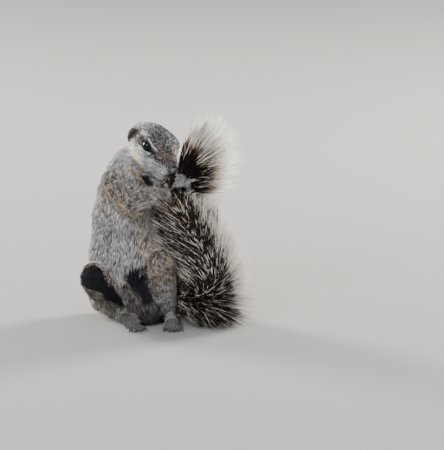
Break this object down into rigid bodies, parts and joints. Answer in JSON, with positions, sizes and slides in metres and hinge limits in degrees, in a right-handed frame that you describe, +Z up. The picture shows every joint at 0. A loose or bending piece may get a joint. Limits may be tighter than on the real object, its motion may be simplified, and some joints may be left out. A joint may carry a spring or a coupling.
{
  "type": "ground squirrel",
  "caption": "Life-size still model of a Cape ground squirrel sitting up on its haunches, head bowed, holding its raised bushy tail to its mouth to groom it.",
  "frame": {"origin": "on the floor, at the middle of the small flat under the rump", "axes": "+Z up, +X to the animal's left, +Y to its back; the pelvis faces -Y and the head is turned to the animal's left"},
  "size_m": [0.154, 0.1191, 0.1997],
  "materials": {
    "coat": "short fur, cinnamon-grey speckled on the back, pale grey below",
    "tail": "long hair banded black, brown and cream",
    "ear": "thin skin with very short hair",
    "foot": "skin with short pale grey hair",
    "claw": "dark horn, half gloss",
    "nose": "damp grey-brown skin",
    "eye": "wet gloss, near black"
  },
  "bodies": {
    "root": {"nose": "nose", "eye_right": "eye", "eye_left": "eye", "ear_right": "ear", "ear_left": "ear", "head": "coat", "lower_jaw": "coat", "neck": "coat", "chest": "coat", "abdomen": "coat", "pelvis": "coat", "groin": "coat", "thigh_right": "coat", "shank_right": "coat", "foot_right": "foot", "thigh_left": "coat", "shank_left": "coat", "foot_left": "foot", "upper_arm_right": "coat", "forearm_right": "coat", "hand_right": "foot", "upper_arm_left": "coat", "forearm_left": "coat", "hand_left": "foot", "tail_root": "tail", "tail_base": "tail", "tail_bend": "tail", "tail_middle": "tail", "tail_upper": "tail", "tail_tip": "tail"}
  },
  "joints": []
}
